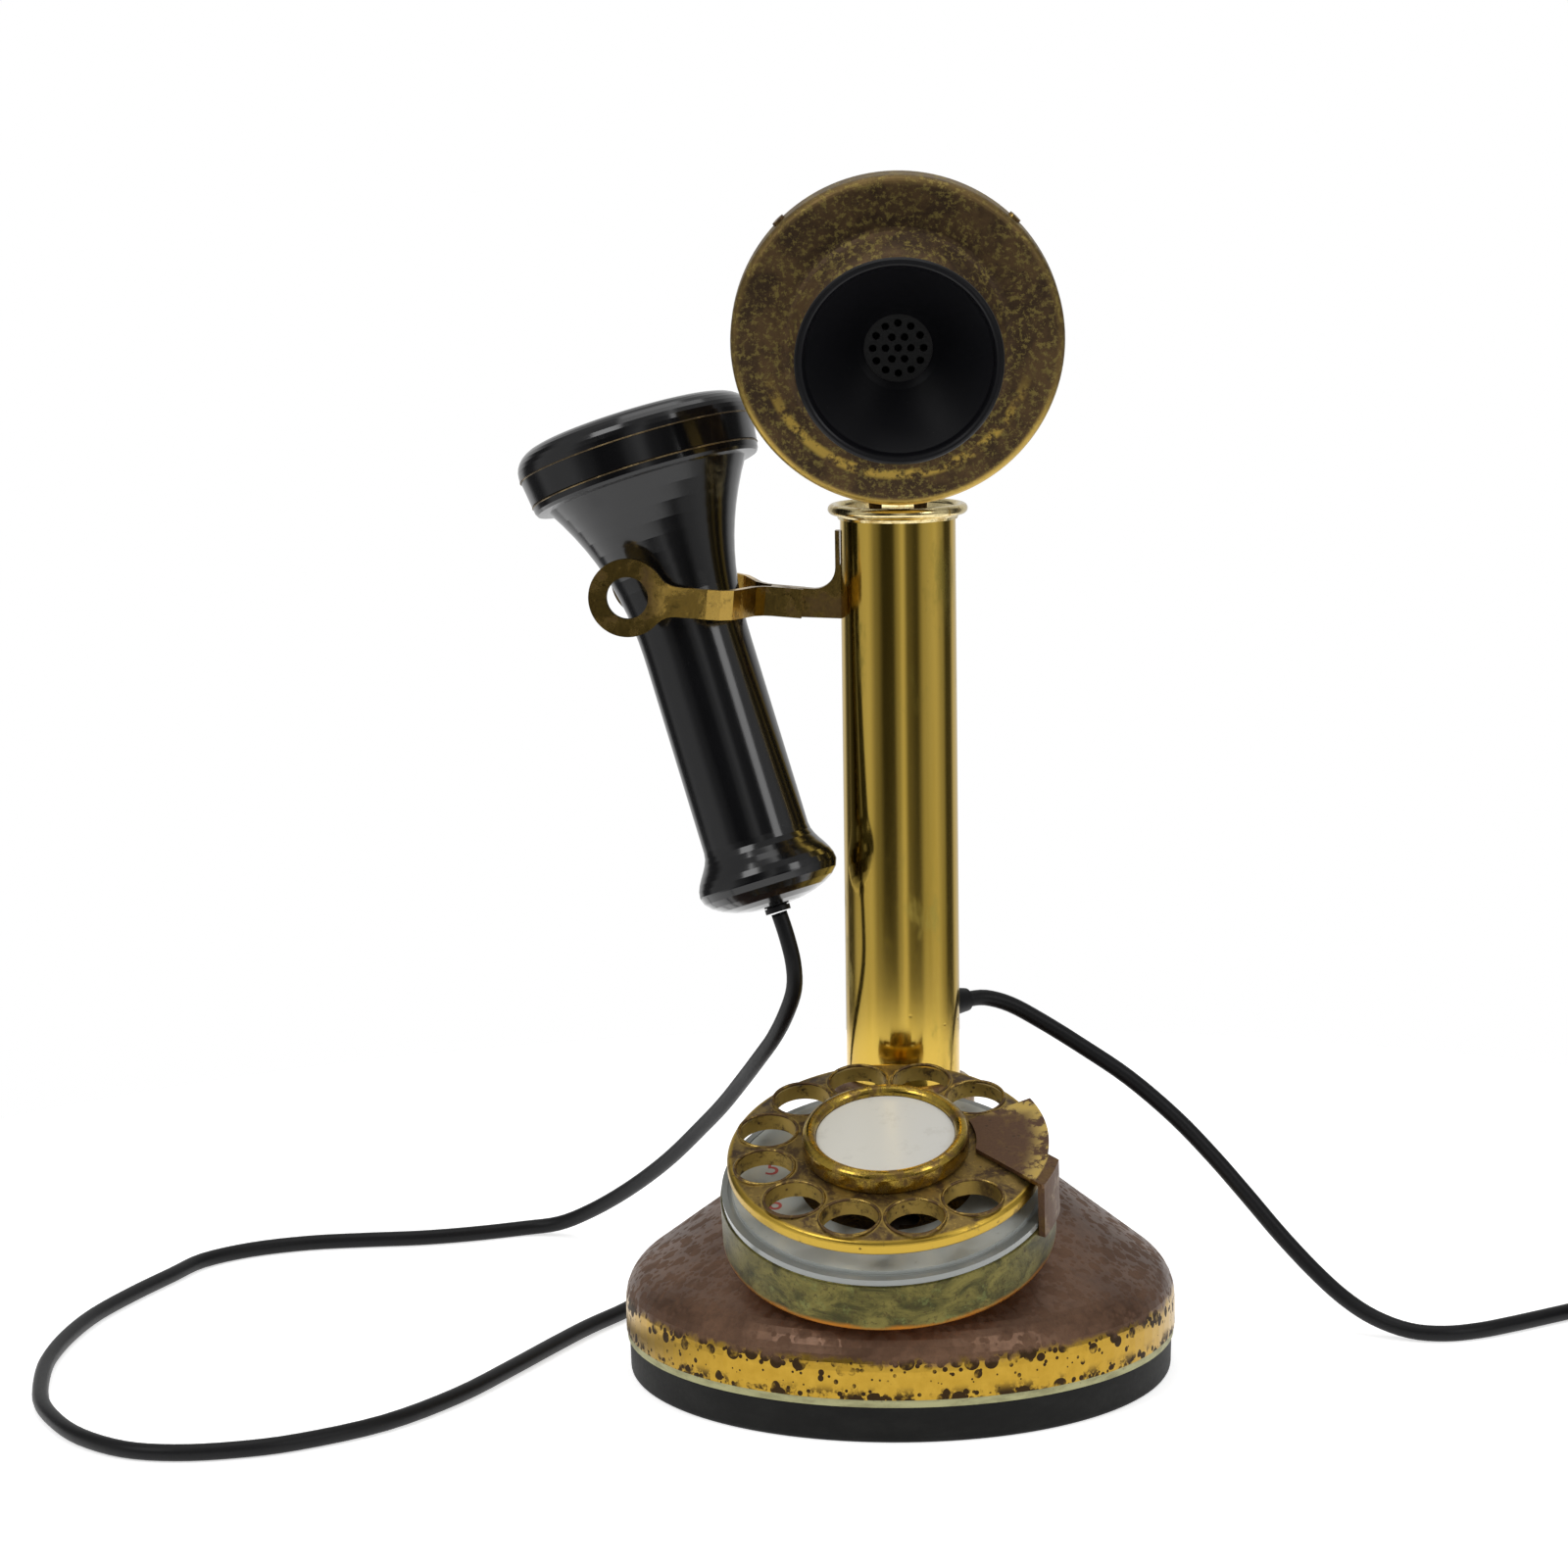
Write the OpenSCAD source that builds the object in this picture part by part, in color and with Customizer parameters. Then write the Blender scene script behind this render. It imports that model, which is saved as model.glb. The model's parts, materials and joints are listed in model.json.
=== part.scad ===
// Desk telephone of the candlestick kind: a weighted round base with a sloping
// dial, a tall column, a tilting transmitter on top and a receiver on a hook.
// Millimetres. Origin: centre of the base's underside. +Z up, -Y front.

/* [Base] */
// Radius of the brass band round the bottom of the shell
base_r = 70.3; // [68:0.1:74]
// Height of the black foot
foot_h = 9.2; // [8:0.1:11]
// Height of the pale sealing band between foot and shell
band_h = 1.9; // [1:0.1:2.5]
// Height at which the straight brass band turns into the shoulder
rim_top = 18.1; // [16:0.1:20]
// Radius of the shell's rounded shoulder
shoulder_r = 12; // [10:0.5:14]
// Wall thickness of the shell
shell_wall = 1.6; // [1.2:0.1:2]

/* [Column] */
// Distance of the column's axis behind the centre of the base
column_y = 20; // [19:0.5:22]
// Outside radius of the column
column_r = 14.7; // [14.5:0.1:15]
// Wall thickness of the column
column_wall = 1.2; // [1:0.1:1.5]
// Height of the column's upper end
column_top = 215.6; // [215:0.1:217]
// Outside radius of the neck that holds the column
neck_r = 18.4; // [17.5:0.1:19]
// Height of the shell's top, where the neck stands
neck_z = 59; // [58:0.5:60]

/* [Transmitter] */
// Turn of the transmitter on the column, about the vertical
head_turn = 5; // [0:1:8]
// Angle by which the faceplate looks down
head_droop = 8; // [4:1:10]
// Radius of the faceplate
plate_r = 41.15; // [40:0.1:42]
// Height of the faceplate's centre
plate_z = 261.5; // [260:0.5:264]
// Distance of the faceplate's front from the column's axis
plate_reach = 32.1; // [31:0.1:34]
// Outside radius of the mouthpiece's lip
mouth_r = 25.3; // [24:0.1:26]
// Length of the mouthpiece in front of the faceplate
mouth_len = 24; // [22:0.5:26]

/* [Dial] */
// Tilt of the dial from level, towards the front
dial_tilt = 20.5; // [19:0.5:22]
// Distance of the dial's centre in front of the centre of the base
dial_front = 41; // [40:0.5:42]
// Height of the dial's centre, at the finger wheel's face
dial_z = 66.5; // [66:0.5:68]
// Radius of the finger wheel
wheel_r = 39.2; // [38:0.1:39.5]
// Radius of the circle through the finger holes
hole_circle_r = 30.5; // [30:0.1:31]
// Radius of one finger hole
finger_r = 7; // [6.5:0.1:7.2]
// Outside radius of the dial's cup
cup_r = 41.4; // [41:0.1:42]

/* [Receiver] */
// Lean of the receiver away from the column
receiver_lean = 17.4; // [16:0.1:18]
// Lean of the receiver's top towards the back
receiver_back = 8.6; // [8:0.1:9]
// Radius of the receiver's handle
handle_r = 13.9; // [13:0.1:14.2]
// Radius of the ear cap
ear_r = 31.2; // [30:0.1:32]

/* [Cords] */
// Diameter of both cords
cord_d = 4.2; // [4:0.1:4.4]

/* [Hidden] */
$fn = 72;
slip = 0.05;
shell_sides = 96;
arc_steps = 7;
rivet_at = [-28.4, 194.4];
digit_step = 30;
first_hole = 47.2;
dial_holes = 10;

// Dial, in its own frame: z = 0 is the finger wheel's face
wheel_t = 3.6;
seat_r = 9;
hub_r = 20.5;
hub_h = 5.7;
card_r = 17;
plate_level = -9.5;
cup_rim = -12;
cup_floor = -25.4;
shaft_r = 3;
gear_teeth = 48;
pinion_teeth = 12;
gear_module = 1;
gear_z = -13.4;
gear_t = 1.2;
pinion_x = -30;
frame_plate_z = -16;

// Transmitter, in the faceplate's frame: z = 0 is its front, +Z forward
pivot_y = -3;
pivot_z = 225;
pivot_r = 2;
run_gap = 0.06;
lug_half = 3.9;
back_cup_r = 27.5;
back_cup_end = -24.5;
bell_root = 6;

// Hook
hook_pivot = [4, 200];
lever_half = 1.5;
prong_t = 1.6;
prong_h = 7.5;
fork_half = 20.8;
prong_rise = 5;
ring_r = 9.9;
ring_hole_r = 5.3;
ring_x = -67;
neck_fillet = 6;
hook_eye_r = 4.4;
rivet_r = 2.15;
// Bends of one prong seen from above, from the rivet to its flat end
prong_path = [[4, 2.3], [-3.5, 2.3], [-6, 3.2], [-8.4, 6], [-10.8, 12.8], [-12.8, 17.8],
              [-15.4, 20.3], [-18.5, fork_half], [-27.5, fork_half]];

// Receiver, in its own frame: z = 0 where its axis passes the hook
receiver_at = [-58, 20, 204];
bulb_r = 18.2;
bulb_mid = -83.8;
bulb_half = 7.8;
flare_start = -24;
flare_end = 21.4;
flare_r = 26.2;
seam_z = 31;
cap_top = 38.3;
tail_end = -93;

// Receiver cord: from the receiver's tail down behind the base, out on the
// table in a wide loop, and back into the rear of the foot
receiver_route = [
    [-30.4, 6, 116], [-28.4, 5.2, 110], [-26.8, 5, 103], [-26.9, 7, 96],
    [-29.5, 12, 88.5], [-33.5, 20, 80.5], [-39, 31, 72], [-45, 44, 63],
    [-52, 58, 53], [-60, 72, 43], [-69, 85, 32.5], [-78, 96, 23.5],
    [-88, 106, 15], [-98, 114, 8], [-107, 118, 3.6], [-117, 118, 2.1],
    [-131, 111, 2.1], [-145, 106, 2.1], [-160, 103, 2.1], [-176, 99, 2.1],
    [-191, 91, 2.1], [-202, 79, 2.1], [-207, 64, 2.1], [-213, 45, 2.1],
    [-218, 25, 2.1], [-220, 7, 2.1], [-220, -11, 2.1], [-218, -28, 2.1],
    [-212, -52, 2.1], [-204, -68, 2.1], [-194, -81, 2.1], [-181, -90, 2.1],
    [-168, -92, 2.1], [-154, -89, 2.1], [-140, -82, 2.1], [-122, -66, 2.1],
    [-108, -43, 2.1], [-98, -18, 2.1], [-91, 1, 2.1], [-84, 19, 2.1],
    [-76, 36, 2.1], [-71, 52, 2.1], [-66, 67, 2.1], [-57, 79, 2.6],
    [-45, 83, 3.6], [-36, 77, 4.6], [-32.1, 69, 5]];

// Line cord: from the column down to the table and on to the coil
line_route = [
    [15.8, 33.2, 88], [20.5, 36.6, 87.8], [27, 38.6, 85.6], [35, 39.6, 81],
    [46, 40, 74], [58, 40, 65.8], [70, 40, 55.4], [80, 39.8, 44.9],
    [89, 39.2, 34.5], [97.5, 37.8, 24.6], [106, 35, 16], [114, 31.5, 9.4],
    [122, 28, 5], [131, 24.8, 2.6], [140, 24.2, 2.1], [149, 27.6, 2.1],
    [158, 34, 2.1], [168, 42, 2.1], [179, 51, 2.1], [189, 58.6, 2.2],
    [197, 63.5, 2.6], [204, 66.7, 2.9]];

// Loose end of the line cord: from the coil to the plug
tail_route = [
    [241, 40, 15.5], [241, 28, 15.7], [240.5, 17, 14.4], [238, 8, 11.6],
    [232, 0, 9.6], [224, -4, 9], [217.5, -4.5, 9]];

coil_at = [216, 40];
coil_mid = 25;
coil_lift = 0.8;
coil_rows = 3;
plug_at = [217.5, -4.5, 9];
plug_r = 9;
plug_len = 24;

grommet_turn = 115;
grommet_z = 5;
spigot_r = 2.45;
line_turn = 40;
line_z = 88;

// ---- Frames ----

module column_frame() translate([0, column_y, 0]) children();

module head_frame() column_frame() rotate([0, 0, head_turn]) children();

module face_frame()
    head_frame()
        translate([0, -plate_reach, plate_z])
            rotate([90 + head_droop, 0, 0])
                children();

module dial_frame() translate([0, -dial_front, dial_z]) rotate([dial_tilt, 0, 0]) children();

module receiver_frame() translate(receiver_at) rotate([-receiver_back, -receiver_lean, 0]) children();

module prong_frame()
    translate([rivet_at[0], column_y, rivet_at[1]])
        rotate([0, prong_rise, 0])
            children();

// ---- Helpers ----

// Points of an arc, n steps from angle a to angle b
function arc(cx, cy, r, a, b, n = 8) =
    [for (i = [0:n]) let (t = a + (b - a) * i / n) [cx + r * cos(t), cy + r * sin(t)]];

// Outline of a strip of half thickness h along a path
function path_normal(p, i) =
    let (a = p[max(i - 1, 0)], b = p[min(i + 1, len(p) - 1)], d = b - a)
    [-d[1], d[0]] / norm(d);
function strip(p, h) = concat(
    [for (i = [0:len(p) - 1]) p[i] + h * path_normal(p, i)],
    [for (i = [len(p) - 1:-1:0]) p[i] - h * path_normal(p, i)]);

// Solid through rings of equally many points, the last ring joined to the first
module ring_loft(rings) {
    n = len(rings[0]);
    m = len(rings);
    polyhedron(
        points = [for (r = rings) each r],
        faces = [for (i = [0:m - 1], j = [0:n - 1])
            let (a = i * n + j, b = i * n + (j + 1) % n,
                 c = ((i + 1) % m) * n + (j + 1) % n, d = ((i + 1) % m) * n + j)
            each [[a, d, c], [a, c, b]]]);
}

// Solid through rings of equally many points, with a flat cap on each end
module capped_loft(rings) {
    n = len(rings[0]);
    m = len(rings);
    polyhedron(
        points = [for (r = rings) each r],
        faces = concat(
            [[for (j = [0:n - 1]) j]],
            [[for (j = [n - 1:-1:0]) (m - 1) * n + j]],
            [for (i = [0:m - 2], j = [0:n - 1])
                let (a = i * n + j, b = i * n + (j + 1) % n)
                each [[a, a + n, b + n], [a, b + n, b]]]));
}

// A smooth point on a route: t runs from 0 to the number of its stretches
function route_at(p, t) =
    let (i = min(floor(t), len(p) - 2), u = t - i,
         a = p[max(i - 1, 0)], b = p[i], c = p[i + 1], d = p[min(i + 2, len(p) - 1)])
    0.5 * (2 * b + (c - a) * u + (2 * a - 5 * b + 4 * c - d) * u * u
        + (3 * b - a - 3 * c + d) * u * u * u);
function route_way(p, t) =
    let (h = 0.05, last = len(p) - 1, d = route_at(p, min(t + h, last)) - route_at(p, max(t - h, 0)))
    d / norm(d);

// Round cord of diameter cord_d along a route
module cord_tube(p, step = 1, sides = 8) {
    last = len(p) - 1;
    capped_loft([for (t = [0:step:last])
        let (c = route_at(p, t), w = route_way(p, t),
             s = cross([0, 0.001, 1], w), u = s / norm(s), v = cross(w, u))
        [for (k = [0:sides - 1]) c + cord_d / 2 * (cos(360 * k / sides) * v - sin(360 * k / sides) * u)]]);
}

// ---- Base ----

module foot_ring() color([0.1, 0.1, 0.1]) difference() {
    rotate_extrude($fn = 120)
        polygon(concat(
            [[0, 0], [base_r - 2.2, 0]],
            arc(base_r - 2.2, 1.2, 1.2, -90, 0, 4),
            [[base_r - 0.8, foot_h], [base_r - 7, foot_h], [base_r - 7, 2.4], [0, 2.4]]));
    rotate([0, 0, grommet_turn]) translate([base_r - 9, 0, grommet_z]) rotate([0, 90, 0])
        cylinder(r = spigot_r + slip, h = 12);
}

module gasket_band() color([0.64, 0.64, 0.38])
    translate([0, 0, foot_h])
        difference() {
            cylinder(r = base_r - 0.3, h = band_h, $fn = 120);
            translate([0, 0, -1]) cylinder(r = base_r - 7, h = band_h + 2, $fn = 120);
        }

// Angle of the shell's slope in the direction a, for a shoulder of radius rs
// inside the radius r and a top ring of radius rt at height zt
function shell_slope(a, r, rs, rt, zt) =
    let (run = r - rs - rt - column_y * sin(a), rise = zt - rim_top)
    acos(rs / norm([run, rise])) - atan2(run, rise);

// One upright row of the shell, from its bottom to its top ring
function shell_row(a, r, rs, rt, zt) =
    let (slope = shell_slope(a, r, rs, rt, zt),
         shoulder = [for (i = [0:arc_steps]) let (f = 90 - (90 - slope) * i / arc_steps)
             [(r - rs + rs * sin(f)) * cos(a), (r - rs + rs * sin(f)) * sin(a), rim_top + rs * cos(f)]],
         low = shoulder[arc_steps],
         high = [rt * cos(a), column_y + rt * sin(a), zt])
    concat([[r * cos(a), r * sin(a), foot_h + band_h]], shoulder,
        [for (f = [1/3, 2/3]) low + (high - low) * f], [high]);

function shell_rings(r, rs, rt, zt) =
    let (rows = [for (k = [0:shell_sides - 1]) shell_row(360 * k / shell_sides, r, rs, rt, zt)])
    [for (i = [0:len(rows[0]) - 1]) [for (k = [0:shell_sides - 1]) rows[k][i]]];
function level_ring(r, y, z) =
    [for (k = [0:shell_sides - 1]) [r * cos(360 * k / shell_sides), y + r * sin(360 * k / shell_sides), z]];
function reversed(p) = [for (i = [len(p) - 1:-1:0]) p[i]];

module base_shell() color([0.42, 0.29, 0.2]) difference() {
    ring_loft(concat(
        [level_ring(column_r + slip, column_y, neck_z)],
        reversed(shell_rings(base_r, shoulder_r, neck_r, neck_z)),
        shell_rings(base_r - shell_wall, shoulder_r - shell_wall, neck_r - 2, neck_z - 1),
        [level_ring(column_r + slip, column_y, neck_z - 1)]));
    dial_frame() translate([0, 0, cup_floor]) cylinder(r = cup_r + slip, h = 60);
}

module base_plate() color([0.55, 0.56, 0.58]) translate([0, 0, 2.4]) difference() {
    cylinder(r = base_r - 7.4, h = 2);
    for (k = [0:2]) rotate([0, 0, 90 + 120 * k]) translate([45, 0, -1]) cylinder(r = 2.05, h = 4);
}

module base_screw(k) color([0.7, 0.62, 0.35]) rotate([0, 0, 90 + 120 * k]) translate([45, 0, 2.4]) {
    cylinder(r = 2, h = 10.6);
    translate([0, 0, 10]) difference() {
        cylinder(r = 3.8, h = 2.2);
        translate([-5, -0.5, 1.2]) cube([10, 1, 2]);
    }
}

module ballast() color([0.2, 0.2, 0.21]) translate([0, 0, 4.4]) difference() {
    cylinder(r = 58, h = 8);
    translate([0, 0, -1]) cylinder(r = 32, h = 10);
    for (k = [0:2]) rotate([0, 0, 90 + 120 * k]) translate([45, 0, -1]) cylinder(r = 2.05, h = 10);
    translate([-18, 24, -1]) cube([36, 16, 10]);
}

module terminal_block() color([0.12, 0.1, 0.09]) translate([0, 31, 4.4]) difference() {
    translate([-16, -6, 0]) cube([32, 12, 9]);
    for (x = [-9, 9]) translate([x, 0, 2]) cylinder(r = 1.55, h = 8);
}

module terminal_screw(k) color([0.75, 0.62, 0.28]) translate([k == 0 ? -9 : 9, 31, 6.4]) {
    cylinder(r = 1.5, h = 8);
    translate([0, 0, 7]) cylinder(r = 3.2, h = 1.8);
}

// ---- Column ----

module neck_collar() color([0.5, 0.37, 0.2]) column_frame() rotate_extrude($fn = 96)
    polygon(concat(
        [[column_r + slip, neck_z], [neck_r, neck_z]],
        arc(neck_r - 3.4, 67.2, 3.4, 0, 90, 8),
        [[column_r + slip, 70.6]]));

module column_tube() color([0.78, 0.6, 0.16]) column_frame() difference() {
    translate([0, 0, neck_z - 6]) cylinder(r = column_r, h = column_top - neck_z + 6, $fn = 96);
    translate([0, 0, neck_z - 7]) cylinder(r = column_r - column_wall, h = column_top, $fn = 96);
    translate([-column_r - 2, -lever_half - 0.25, 186.5]) cube([10, 2 * lever_half + 0.5, 28.7]);
    rotate([0, 0, line_turn]) translate([5, 0, line_z]) rotate([0, 90, 0]) cylinder(r = 3.2, h = 12);
}

module column_collar() color([0.85, 0.75, 0.42]) column_frame() difference() {
    rotate_extrude($fn = 96) {
        polygon([[12.3, 207], [13.45, 207], [13.45, column_top], [15.2, column_top],
                 [15.5, 216.3], [17, 217.6], [15.8, 218.9], [13.8, 217.2], [12.3, 216.4]]);
        translate([16.45, 218.1]) circle(r = 1.35, $fn = 24);
    }
    translate([-18, -lever_half - 0.25, 200]) cube([8, 2 * lever_half + 0.5, column_top - 200.3]);
}

module perch() color([0.6, 0.46, 0.2]) head_frame() {
    difference() {
        translate([0, 0, 208.5]) cylinder(r = 12.25, h = 4.5);
        translate([-14, -lever_half - 2.3, 208]) cube([5, 2 * lever_half + 4.6, 6]);
    }
    for (s = [-1, 1]) translate([s * 5.7, pivot_y, 0]) difference() {
        union() {
            translate([-1.6, -5.5, 212.9]) cube([3.2, 11, pivot_z - 212.9]);
            translate([-1.6, 0, pivot_z]) rotate([0, 90, 0]) cylinder(r = 5.5, h = 3.2);
        }
        translate([-4, 0, pivot_z]) rotate([0, 90, 0]) cylinder(r = pivot_r + 0.02, h = 8);
    }
}

module transmitter_pivot() color([0.7, 0.6, 0.35]) head_frame() translate([0, pivot_y, pivot_z]) {
    rotate([0, 90, 0]) translate([0, 0, -9]) cylinder(r = pivot_r, h = 18);
    translate([7.35, 0, 0]) rotate([0, 90, 0]) difference() {
        cylinder(r = 4, h = 2.4);
        translate([-5, -0.5, 1.4]) cube([10, 1, 2]);
    }
    translate([-9.4, 0, 0]) rotate([0, 90, 0]) cylinder(r = 3.4, h = 2, $fn = 6);
}

// ---- Hook ----

module hook_lever() color([0.6, 0.42, 0.14]) column_frame()
    rotate([90, 0, 0]) translate([0, 0, -lever_half]) linear_extrude(2 * lever_half) difference() {
        union() {
            polygon(concat(
                [[-32.5, 190.8], [-12, 190], [1, 194.6], [1, 203.5], [-12, 201.5],
                 [-14.95, 204], [-14.95, 212.6], [-16, 212.6]],
                arc(-21.5, 203.2, 5.5, 0, -90, 8),
                [[-32.5, 198.5]]));
            translate(hook_pivot) circle(r = hook_eye_r);
        }
        translate(hook_pivot) circle(r = 1.55);
        translate(rivet_at) circle(r = rivet_r + slip);
    }

// One prong in its own frame: x along the arm from the rivet, y out from the arm
module prong() {
    reach = ring_x - rivet_at[0];
    difference() {
        translate([0, 0, -prong_h / 2]) linear_extrude(prong_h) polygon(strip(prong_path, prong_t / 2));
        rotate([-90, 0, 0]) cylinder(r = rivet_r + slip, h = 8);
    }
    run = sqrt(pow(ring_r + neck_fillet, 2) - pow(prong_h / 2 + neck_fillet, 2));
    lean = atan2(prong_h / 2 + neck_fillet, run);
    translate([reach, fork_half + prong_t / 2, 0]) rotate([90, 0, 0]) linear_extrude(prong_t)
        difference() {
            union() {
                circle(r = ring_r);
                polygon(concat(
                    arc(run, prong_h / 2 + neck_fillet, neck_fillet, 180 + lean, 270, 6),
                    arc(run, -prong_h / 2 - neck_fillet, neck_fillet, 90, 180 - lean, 6)));
            }
            circle(r = ring_hole_r);
        }
}

module hook_front_prong() color([0.66, 0.48, 0.14]) prong_frame() mirror([0, 1, 0]) prong();

module hook_back_prong() color([0.66, 0.48, 0.14]) prong_frame() prong();

module hook_rivet() color([0.55, 0.4, 0.16]) prong_frame() rotate([90, 0, 0])
    cylinder(r = rivet_r, h = 7.2, center = true);

module hook_pivot_pin() color([0.6, 0.6, 0.62]) column_frame()
    translate([hook_pivot[0], 0, hook_pivot[1]]) rotate([90, 0, 0]) cylinder(r = 1.5, h = 20, center = true);

module hook_bracket() color([0.62, 0.5, 0.25]) column_frame() difference() {
    union() {
        for (s = [-1, 1]) translate([0, s * 7 - 1, 192]) cube([9, 2, 14]);
        translate([8.9, -8.05, 192]) cube([1.9, 16.1, 14]);
    }
    translate([hook_pivot[0], 0, hook_pivot[1]]) rotate([90, 0, 0]) cylinder(r = 1.52, h = 30, center = true);
}

module contact_leaf(k) color([0.8, 0.68, 0.35]) column_frame()
    translate([k * 3.2 - 3, -3, 150]) cube([0.5, 6, 36]);

module contact_block() color([0.15, 0.1, 0.08]) column_frame() difference() {
    translate([-9.5, -9.5, 146]) cube([19, 19, 12]);
    for (k = [0:1]) translate([k * 3.2 - 3 - slip, -3 - slip, 150 - slip]) cube([0.5 + 2 * slip, 6 + 2 * slip, 36]);
}

// ---- Transmitter ----

module transmitter_lug() color([0.5, 0.38, 0.2]) difference() {
    head_frame() rotate([90, 0, 90]) translate([0, 0, -lug_half]) {
        translate([pivot_y, pivot_z, 0]) cylinder(r = 5.5, h = 2 * lug_half);
        linear_extrude(2 * lug_half)
            polygon([[-7, 225], [-12, 234], [-12, 244], [-7, 250], [0.5, 250], [1, 225]]);
    }
    head_frame() translate([-10, pivot_y, pivot_z]) rotate([0, 90, 0]) cylinder(r = pivot_r + run_gap, h = 20);
    face_frame() translate([0, 0, back_cup_end]) cylinder(r = back_cup_r, h = 40);
}

module transmitter_cup() color([0.3, 0.21, 0.14]) face_frame() rotate_extrude($fn = 96)
    polygon(concat(
        [[plate_r - 1.45, -3.2], [plate_r - 1.45, -9.6], [31, -12.6], [back_cup_r, -15], [back_cup_r, -21.5]],
        arc(back_cup_r - 3, -21.5, 3, 0, -90, 6),
        [[0, back_cup_end], [0, -23], [24, -23], [26, -21], [26, -14.2], [30, -11.2],
         [plate_r - 2.95, -8.4], [plate_r - 2.95, -3.2]]));

module faceplate() color([0.33, 0.24, 0.14]) face_frame() rotate_extrude($fn = 120)
    polygon(concat(
        [[12.05, 7.4], [21, 7.4]],
        [for (i = [0:8]) let (f = i / 8) [21 + 7.8 * f, 3.7 + 3.7 * cos(180 * f)]],
        arc(plate_r - 2.5, -2.5, 2.5, 90, 0, 6),
        [[plate_r, -8.6], [plate_r - 1.4, -8.6], [plate_r - 1.4, -3], [plate_r - 3.2, -1.5], [28.8, -1.5],
         [20, 5.8], [12.05, 5.8]]));

// Small pan-headed screws in the rim of the faceplate
module faceplate_screw(k) color([0.5, 0.4, 0.22]) face_frame()
    rotate([0, 0, k == 0 ? 134 : 46]) translate([plate_r, 0, -5]) rotate([0, 90, 0]) cylinder(r = 1.7, h = 0.75);

// Inside radius of the mouthpiece's bell, s from 0 at its root to 1 at its lip
function bell_r(s) = 8.4 + (mouth_r - 1.5 - 8.4) * pow(s, 0.9);

module mouthpiece() color([0.05, 0.05, 0.06]) face_frame() rotate_extrude($fn = 96)
    polygon(concat(
        [[8.4, -1], [12, -1], [12, 7.6], [14.6, 7.6], [14.6, 9]],
        [for (i = [1:8]) let (f = i / 8) [14.6 + (mouth_r - 0.9 - 14.6) * pow(f, 0.8), 9 + (mouth_len - 10.2) * f]],
        arc(mouth_r - 1.1, mouth_len - 1.1, 1.1, 0, 160, 6),
        [for (i = [11:-1:0]) let (f = i / 12) [bell_r(f), bell_root + (mouth_len - 1 - bell_root) * f]]));

module mouth_grille() color([0.08, 0.08, 0.09]) face_frame() translate([0, 0, bell_root - 1.6]) difference() {
    cylinder(r = 8.38, h = 1.5);
    for (ring = [0:2]) for (k = [0:max(ring * 6 - 1, 0)])
        rotate([0, 0, ring == 0 ? 0 : 60 * k / ring])
            translate([3.1 * ring, 0, -1]) cylinder(r = 0.95, h = 4, $fn = 16);
}

module carbon_capsule() color([0.7, 0.62, 0.4]) face_frame() {
    translate([0, 0, -9]) cylinder(r = 23, h = 5);
    translate([0, 0, -23]) cylinder(r = 14, h = 14.1);
}

// ---- Receiver ----

function flare(z) =
    handle_r + (flare_r - handle_r) * pow(max(z - flare_start, 0) / (flare_end - flare_start), 2.3);

module receiver_shell() color([0.06, 0.06, 0.065]) receiver_frame() rotate_extrude($fn = 96)
    polygon(concat(
        [[2.7, bulb_mid - bulb_half + 4], [2.7, bulb_mid - 0.985 * bulb_half]],
        [for (i = [1:7]) let (f = i * 90 / 7 - 80) if (f < 0) [bulb_r * cos(f), bulb_mid + bulb_half * sin(f)]],
        [for (i = [0:7]) let (f = i / 7)
            [handle_r + (bulb_r - handle_r) * (1 + cos(180 * f)) / 2, bulb_mid + 10.5 * f]],
        [for (i = [0:12]) let (z = flare_start + (flare_end - flare_start) * i / 12) [flare(z), z]],
        [[29.3, 21.6], [29.8, 22.4], [30, 23.8], [29.7, 24], [30.1, 24.3], [ear_r - 0.2, seam_z]],
        [[27, seam_z], [27, 30.2], [24, 30.2], [24, 22], [19.4, 14], [14.4, 0], [11.2, -22],
         [11.2, bulb_mid - 1], [8, bulb_mid - bulb_half + 4]]));

module receiver_cap() color([0.05, 0.05, 0.055]) receiver_frame() rotate_extrude($fn = 96)
    polygon(concat(
        [[27, seam_z], [ear_r, seam_z], [ear_r, seam_z + 1.4]],
        [for (i = [1:8]) let (f = 90 * i / 8)
            [24.4 + (ear_r - 24.4) * cos(f), seam_z + 1.4 + (cap_top - seam_z - 1.4) * sin(f)]],
        [[21, cap_top - 0.4], [12, cap_top - 2.2], [4.6, cap_top - 3], [4, cap_top - 3.4], [4, cap_top - 5],
         [25, cap_top - 5], [27, cap_top - 6]]));

module receiver_diaphragm() color([0.5, 0.5, 0.52]) receiver_frame()
    translate([0, 0, 30.25]) cylinder(r = 26.8, h = 0.4);

module receiver_magnet() color([0.4, 0.4, 0.42]) receiver_frame() {
    for (s = [-1, 1]) {
        translate([s * 6 - 2, -4, -60]) cube([4, 8, 84]);
        translate([s * 6, 0, 23]) cylinder(r = 5.2, h = 5);
    }
    translate([-8, -4, -64]) cube([16, 8, 4.1]);
    translate([0, 0, 22.4]) cylinder(r = 23.9, h = 1.2);
}

module receiver_tail() color([0.07, 0.07, 0.07]) receiver_frame() {
    translate([0, 0, tail_end]) cylinder(r = 3.3, h = 1.35);
    translate([0, 0, tail_end + 1.3]) cylinder(r = 2.65, h = 5);
}

// ---- Dial ----

// Room for the neck behind the dial
module neck_room() column_frame() translate([0, 0, 30]) cylinder(r = neck_r + slip, h = 60, $fn = 96);

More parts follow.
